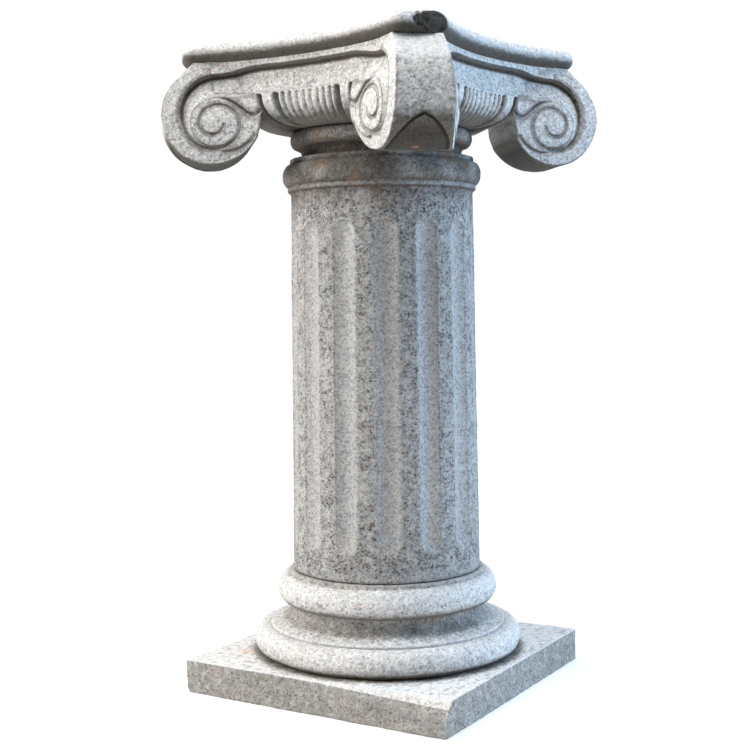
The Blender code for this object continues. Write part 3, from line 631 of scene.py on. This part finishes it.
def bell_rings():
    """The ribbed bell, round at its seat and hollow-sided at the top."""
    share = np.linspace(-1.0, 1.0, 132)
    across = share * RIB_FIELD_HALF_WIDTH
    rib = np.zeros(across.shape)
    for place, depth, half in RIB_GROOVES:
        away = np.abs(np.abs(across) - place) / half
        rib = np.maximum(rib, depth * np.clip(1.0 - away, 0.0, 1.0) ** 1.35)
    parts = np.concatenate([np.linspace(0.0, 0.94, 32), [0.97, 1.0]])
    rings, soils_and_painted_light = [], []
    out = sweep(FACE_MIDDLE, across) - 0.0012
    for part in parts:
        swell = (1.0 - (1.0 - part) ** 2.4) ** 0.45
        slim = BELL_SEAT_RADIUS / np.hypot(across, out)
        scale = slim + (1.0 - slim) * swell
        fade = 1.0 - float(smooth(np.array(part), 0.90, 0.985))
        height = np.full(across.shape, BELL_HEIGHT * part)
        loop = [side_point(90.0 * k, across * scale, out * scale - rib * fade, height) for k in range(4)]
        rings.append(np.concatenate(loop))
        # The bell darkens towards its foot and in its rib grooves: dirt and painted shade
        bell_foot_dirt_and_shade = 0.9 * (1.0 - float(smooth(np.array(part), 0.02, 0.34)))
        soils_and_painted_light.append(np.tile(np.clip(rib * fade / 0.005, 0.0, 0.85) + bell_foot_dirt_and_shade, 4))
    return np.array(rings), np.clip(np.array(soils_and_painted_light), 0.0, 1.0)


def abacus_rings():
    """The hollow-sided slab with a half-round edge."""
    line = HORN_REACH * math.sqrt(2.0) - (ABACUS_CREASE_MIDDLE + FACE_SWEEP_RADIUS)
    end = (line + math.sqrt(2.0 * FACE_SWEEP_RADIUS ** 2 - line ** 2)) / 2.0
    across = np.linspace(-end, end, 151)[:-1]
    out = sweep(ABACUS_CREASE_MIDDLE, across)
    tip_out = float(sweep(ABACUS_CREASE_MIDDLE, np.array(end)))
    blunt = np.linspace(0.0, 1.0, 30, endpoint=False)
    side = np.concatenate([np.stack([across, out], -1),
                           np.stack([end + (tip_out - end) * blunt, tip_out + (end - tip_out) * blunt], -1)])
    loop = np.concatenate([side_point(90.0 * k, side[:, 0], side[:, 1], np.zeros(len(side)))[:, :2]
                           for k in range(4)])
    for _ in range(3):
        loop = (np.roll(loop, 1, 0) + 2.0 * loop + np.roll(loop, -1, 0)) / 4.0
    along = np.roll(loop, -2, 0) - np.roll(loop, 2, 0)
    along /= np.linalg.norm(along, axis=-1, keepdims=True)
    normal = np.stack([along[:, 1], -along[:, 0]], axis=-1)
    half = ABACUS_THICKNESS / 2.0
    rows = [(0.55, 0.0, -half), (0.8, 0.0, -half), (0.93, 0.0, -half)]
    rows += [(1.0, half * math.cos(a), half * math.sin(a)) for a in np.radians(np.linspace(-90.0, 90.0, 23))]
    rows += [(k, 0.0, half) for k in (0.985, 0.96, 0.93, 0.89, 0.84, 0.78, 0.7, 0.6, 0.48, 0.35, 0.2, 0.08)]
    middle = ABACUS_FOOT + half
    rings = np.array([np.column_stack([loop * scale + normal * offset, np.full(len(loop), middle + lift)])
                      for scale, offset, lift in rows])
    direction = math.radians(315.0 + FRACTURE_TURN)
    lean = math.radians(FRACTURE_LEAN)
    broken = (math.cos(direction) * math.cos(lean), math.sin(direction) * math.cos(lean), math.sin(lean))
    corner = math.radians(315.0)
    place = (FRACTURE_REACH * math.cos(corner), FRACTURE_REACH * math.sin(corner), middle)
    before = rings.copy()
    rings = chip(rings, place, broken, 3.0 * MM, 61)
    lost = smooth(np.linalg.norm(rings - before, axis=-1), 0.0008, 0.003)
    # The lower half of the edge and the crease below it are darkened: brown dirt and painted shade
    crease_dirt_and_shade = 1.3 * (1.0 - smooth(rings[..., 2], ABACUS_FOOT + 0.006, ABACUS_FOOT + 0.021))
    return rings, np.clip(crease_dirt_and_shade + 1.3 * lost, 0.0, 1.4)


def set_up_capital(stack):
    """Weathers a stack like its neighbours, then turns it and sets it on the shaft."""
    rings, soil_and_painted_light = stack
    rings = weather(rings, 0.3 * MM, 0.45 * MM, 71)
    rings[..., 2] = np.minimum(rings[..., 2], CAPITAL_HEIGHT)
    turn = math.radians(CAPITAL_TURN)
    matrix = np.array([[math.cos(turn), -math.sin(turn), 0.0], [math.sin(turn), math.cos(turn), 0.0],
                       [0.0, 0.0, 1.0]])
    return rings @ matrix.T + (0.0, 0.0, CAPITAL_SEAT), soil_and_painted_light


# Granite

class Nodes:
    """A short way to lay out a material's nodes."""

    def __init__(self, material):
        self.tree = material.node_tree

    def add(self, kind, **settings):
        node = self.tree.nodes.new(kind)
        for name, value in settings.items():
            setattr(node, name, value)
        return node

    def link(self, source, target):
        self.tree.links.new(source, target)

    def feed(self, target, value):
        if isinstance(value, bpy.types.NodeSocket):
            self.link(value, target)
        else:
            target.default_value = value

    def math(self, operation, a, b=0.0, clamp=False):
        node = self.add("ShaderNodeMath", operation=operation, use_clamp=clamp)
        self.feed(node.inputs[0], a)
        self.feed(node.inputs[1], b)
        return node.outputs[0]

    def between(self, value, low, high, out_low=0.0, out_high=1.0):
        node = self.add("ShaderNodeMapRange", interpolation_type="SMOOTHSTEP")
        self.feed(node.inputs["Value"], value)
        for name, number in (("From Min", low), ("From Max", high), ("To Min", out_low), ("To Max", out_high)):
            node.inputs[name].default_value = number
        return node.outputs[0]

    def noise(self, where, scale, detail=2.0, roughness=0.5):
        node = self.add("ShaderNodeTexNoise")
        self.link(where, node.inputs["Vector"])
        node.inputs["Scale"].default_value = scale
        node.inputs["Detail"].default_value = detail
        node.inputs["Roughness"].default_value = roughness
        return node.outputs["Fac"]

    def mix(self, share, first, second, blend="MIX"):
        node = self.add("ShaderNodeMix", data_type="RGBA", blend_type=blend)
        self.feed(node.inputs[0], share)
        self.feed(node.inputs[6], first)
        self.feed(node.inputs[7], second)
        return node.outputs[2]

    def attribute(self, name):
        return self.add("ShaderNodeAttribute", attribute_name=name).outputs["Fac"]

    def grains(self, where, scale, stops):
        """Crystals of even size, each in one of the stops' colours."""
        cells = self.add("ShaderNodeTexVoronoi")
        self.link(where, cells.inputs["Vector"])
        cells.inputs["Scale"].default_value = scale
        pick = self.add("ShaderNodeSeparateColor")
        self.link(cells.outputs["Color"], pick.inputs[0])
        ramp = self.add("ShaderNodeValToRGB")
        ramp.color_ramp.interpolation = "CONSTANT"
        for index, (place, colour) in enumerate(stops):
            stop = ramp.color_ramp.elements[index] if index < 2 else ramp.color_ramp.elements.new(place)
            stop.position = place
            stop.color = (*colour, 1.0)
        self.link(pick.outputs[0], ramp.inputs[0])
        return ramp.outputs[0]


def crystal_stops(dark_share, brightness):
    """Shares of black mica, grey quartz, white feldspar and a few tan grains."""
    greys = ((0.0, 0.06), (dark_share, 0.30), (dark_share + 0.14, 0.62), (0.5, 0.88), (0.8, 1.12))
    stops = [(place, tuple(brightness * share * part for part in (1.0, 1.005, 1.0))) for place, share in greys]
    return stops + [(0.915, (brightness * 0.98, brightness * 0.76, brightness * 0.60))]


def granite(name, brightness, dark_share, hollow_dirt_and_shade, dirt_and_shade_tint, rust, evenness):
    """Speckled grey granite, with dirt and painted shade in its hollows, painted shade on its undersides, and
    paler rubbed edges and painted highlights.
    """
    material = bpy.data.materials.new(name)
    material.use_nodes = True
    n = Nodes(material)
    shader = n.tree.nodes["Principled BSDF"]
    where = n.add("ShaderNodeTexCoord").outputs["Object"]
    warp = n.add("ShaderNodeTexNoise")
    n.link(where, warp.inputs["Vector"])
    warp.inputs["Scale"].default_value = 420.0
    shift = n.add("ShaderNodeVectorMath", operation="SCALE")
    n.link(warp.outputs["Color"], shift.inputs[0])
    shift.inputs["Scale"].default_value = 0.0024
    bent = n.add("ShaderNodeVectorMath", operation="ADD")
    n.link(where, bent.inputs[0])
    n.link(shift.outputs[0], bent.inputs[1])
    stops = crystal_stops(dark_share, brightness)
    stone = n.mix(0.42, n.grains(bent.outputs[0], 330.0, stops), n.grains(bent.outputs[0], 560.0, stops))
    mean = (brightness * 0.74, brightness * 0.74, brightness * 0.73, 1.0)
    stone = n.mix(evenness, stone, mean)
    large = n.between(n.noise(where, 7.0, 2.0), 0.3, 0.7, 0.93, 1.07)
    small = n.between(n.noise(where, 110.0, 2.0), 0.3, 0.7, 0.90, 1.10)
    tint = n.add("ShaderNodeVectorMath", operation="SCALE")
    n.link(stone, tint.inputs[0])
    n.link(n.math("MULTIPLY", large, small), tint.inputs["Scale"])
    stone = tint.outputs[0]
    # Rubbed edges and painted highlights are paler; hollows hold dirt and painted shade, and the undersides get
    # painted shade
    deep, fine, soil_and_painted_light = n.attribute("deep"), n.attribute("fine"), n.attribute("soil_and_painted_light")
    wear_and_highlight = n.math("MAXIMUM", n.between(fine, -0.04, -0.25), n.between(deep, -0.4, -1.8))
    wear_and_highlight = n.math("MULTIPLY", wear_and_highlight, n.between(n.noise(where, 60.0, 3.0), 0.35, 0.6, 0.3, 0.8))
    wear_and_highlight = n.math("MAXIMUM", n.math("MULTIPLY", wear_and_highlight, 0.45), n.math("MULTIPLY", soil_and_painted_light, -1.0))
    stone = n.mix(wear_and_highlight, stone, n.mix(0.62, stone, (0.78, 0.78, 0.77, 1.0)))
    # Painted shade: surfaces facing down are darkened by their normal
    normal = n.add("ShaderNodeSeparateXYZ")
    n.link(n.add("ShaderNodeNewGeometry").outputs["Normal"], normal.inputs[0])
    underside_shade = n.between(normal.outputs[2], -0.15, -0.85, 0.0, 0.85)
    hollow = n.math("MAXIMUM", n.between(fine, 0.03, 0.28), n.between(deep, 0.3, 1.6))
    dirt_and_shade = n.math("MAXIMUM", n.math("MULTIPLY", hollow, hollow_dirt_and_shade), soil_and_painted_light)
    dirt_and_shade = n.math("ADD", dirt_and_shade, underside_shade)
    broken = n.between(n.noise(where, 60.0, 5.0, 0.65), 0.28, 0.68, 0.66, 1.08)
    dirt_and_shade = n.math("MULTIPLY", dirt_and_shade, broken, clamp=True)
    brown = tuple(part * factor for part, factor in zip(dirt_and_shade_tint, (2.7, 1.45, 0.75)))
    patches = n.between(n.noise(where, 26.0, 3.0), 0.45, 0.68, 0.0, rust)
    grime_and_shade = n.mix(patches, (*dirt_and_shade_tint, 1.0), (*brown, 1.0))
    dirty_and_shaded = n.mix(0.55, n.mix(1.0, stone, (0.36, 0.335, 0.295, 1.0), "MULTIPLY"), grime_and_shade)
    colour = n.mix(dirt_and_shade, stone, dirty_and_shaded)
    # Where the soil value passes 0.95 (pits, creases, rim undersides, outlines) the colour darkens further: dirt
    # and painted shade
    colour = n.mix(n.between(soil_and_painted_light, 0.95, 1.55), colour, n.mix(1.0, colour, (0.30, 0.28, 0.26, 1.0), "MULTIPLY"))
    rusty = n.math("MULTIPLY", n.attribute("rust"), n.between(n.noise(where, 160.0, 3.0), 0.3, 0.6, 0.15, 0.75))
    colour = n.mix(rusty, colour, n.mix(0.5, colour, (0.62, 0.27, 0.08, 1.0)))
    n.link(colour, shader.inputs["Base Color"])
    shader.inputs["Roughness"].default_value = 0.82
    shader.inputs["Specular IOR Level"].default_value = 0.3
    pits = n.math("ADD", n.math("MULTIPLY", n.noise(where, 900.0, 2.0), 0.5),
                  n.math("MULTIPLY", n.noise(where, 260.0, 3.0), 0.8))
    bump = n.add("ShaderNodeBump")
    bump.inputs["Strength"].default_value = 0.5
    bump.inputs["Distance"].default_value = 0.0012
    n.link(pits, bump.inputs["Height"])
    n.link(bump.outputs[0], shader.inputs["Normal"])
    return material


# Stage

def set_camera():
    """The photograph's camera, found by fitting the plinth's corners and the shaft's sides."""
    view_turn, pan, pitch, roll = (math.radians(value) for value in (31.1, -0.41, 3.55, -0.80))
    ahead = Vector((math.sin(pan) * math.cos(pitch), math.cos(pan) * math.cos(pitch), -math.sin(pitch)))
    level = Vector((math.cos(pan), -math.sin(pan), 0.0))
    upright = Vector((math.sin(pan) * math.sin(pitch), math.cos(pan) * math.sin(pitch), math.cos(pitch)))
    right = level * math.cos(roll) + upright * math.sin(roll)
    up = upright * math.cos(roll) - level * math.sin(roll)
    axes = Matrix((right, up, -ahead)).transposed().to_4x4()
    axes.translation = (0.0, -2.0775, 0.6165)
    lens = bpy.data.cameras.new("photo camera")
    lens.sensor_width = 36.0
    lens.lens = 62.4
    camera = bpy.data.objects.new("photo camera", lens)
    camera.matrix_world = Matrix.Rotation(view_turn, 4, "Z") @ axes
    bpy.context.scene.collection.objects.link(camera)
    bpy.context.scene.camera = camera


def add_light(name, azimuth, elevation, distance, size, power, colour):
    """A soft square light; azimuth 0 stands at the camera's side, 90 to its right."""
    light = bpy.data.lights.new(name, "AREA")
    light.size = size
    light.energy = power
    light.color = colour
    item = bpy.data.objects.new(name, light)
    turn, rise = math.radians(azimuth + 31.1), math.radians(elevation)
    away = Vector((math.sin(turn) * math.cos(rise), -math.cos(turn) * math.cos(rise), math.sin(rise)))
    item.location = Vector((0.0, 0.0, 0.5)) + away * distance
    item.rotation_euler = (-away).to_track_quat("-Z", "Y").to_euler()
    item.visible_camera = False
    bpy.context.scene.collection.objects.link(item)


def stage_plane(name, corners, colour, glow, tint=(1.0, 1.0, 1.0)):
    """A flat matt card or floor that isn't part of the object."""
    mesh = bpy.data.meshes.new(name)
    mesh.from_pydata(corners, [], [tuple(range(len(corners)))])
    material = bpy.data.materials.new(name)
    material.use_nodes = True
    shader = material.node_tree.nodes["Principled BSDF"]
    shader.inputs["Base Color"].default_value = (colour, colour, colour, 1.0)
    shader.inputs["Roughness"].default_value = 0.95
    shader.inputs["Emission Color"].default_value = (*tint, 1.0)
    shader.inputs["Emission Strength"].default_value = glow
    mesh.materials.append(material)
    item = bpy.data.objects.new(name, mesh)
    bpy.context.scene.collection.objects.link(item)
    return item


def set_stage():
    world = bpy.data.worlds.new("studio")
    world.use_nodes = True
    sky = world.node_tree.nodes["Background"]
    sky.inputs["Color"].default_value = (0.98, 0.99, 1.0, 1.0)
    sky.inputs["Strength"].default_value = 1.04
    bpy.context.scene.world = world
    bpy.context.scene.view_settings.view_transform = "Standard"
    add_light("overhead", -25.0, 74.0, 2.7, 1.6, 56.0, (0.97, 0.99, 1.0))
    add_light("warm key", -80.0, 22.0, 2.6, 1.0, 46.0, (1.0, 0.93, 0.84))
    add_light("cool side", 91.0, 12.0, 2.6, 1.0, 42.0, (0.24, 0.58, 1.0))
    stage_plane("floor", [(-20, -20, 0), (20, -20, 0), (20, 20, 0), (-20, 20, 0)], 0.72, 0.3)
    # A black card behind the camera keeps the near side darker, a blue one cools the right side
    card("black card", 0.0, 2.25, 3.0, 4.2, 0.02, 0.0, (1.0, 1.0, 1.0))
    card("blue card", 90.0, 3.0, 2.0, 2.6, 0.5, 0.7, (0.55, 0.80, 1.0))


def card(name, azimuth, distance, half_width, height, colour, glow, tint):
    """An upright card around the column, unseen by the camera."""
    turn = math.radians(31.1 + azimuth)
    ahead, beside = Vector((math.sin(turn), -math.cos(turn), 0.0)), Vector((math.cos(turn), math.sin(turn), 0.0))
    corners = [ahead * distance + beside * side + Vector((0.0, 0.0, level)) for side, level in
               ((-half_width, 0.02), (half_width, 0.02), (half_width, height), (-half_width, height))]
    stage_plane(name, corners, colour, glow, tint).visible_camera = False


def main():
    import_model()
    base_stone = granite("base granite", 0.73, 0.065, 0.45, (0.095, 0.088, 0.070), 0.25, 0.10)
    shaft_stone = granite("shaft granite", 0.365, 0.18, 0.0, (0.060, 0.052, 0.042), 0.75, 0.0)
    capital_stone = granite("capital granite", 0.75, 0.08, 0.6, (0.036, 0.032, 0.025), 0.35, 0.30)
    stone_piece("base_stone", [plinth_rings(), mouldings_rings()], base_stone, "base")
    stone_piece("shaft_stone", [shaft_rings()], shaft_stone, "shaft")
    body = [set_up_capital(stack) for stack in (bell_rings(), abacus_rings())]
    stone_piece("capital_body", body, capital_stone, "capital")
    band = set_up_capital(block_rings())
    stone_piece("capital_band", [band], capital_stone, "capital")
    for index in range(4):
        scroll = set_up_capital(scroll_rings(45.0 + 90.0 * index, 1.05 if index == 3 else 1.6))
        stone_piece(f"capital_scroll_{index + 1}", [scroll], capital_stone, "capital")
    set_stage()
    set_camera()


main()
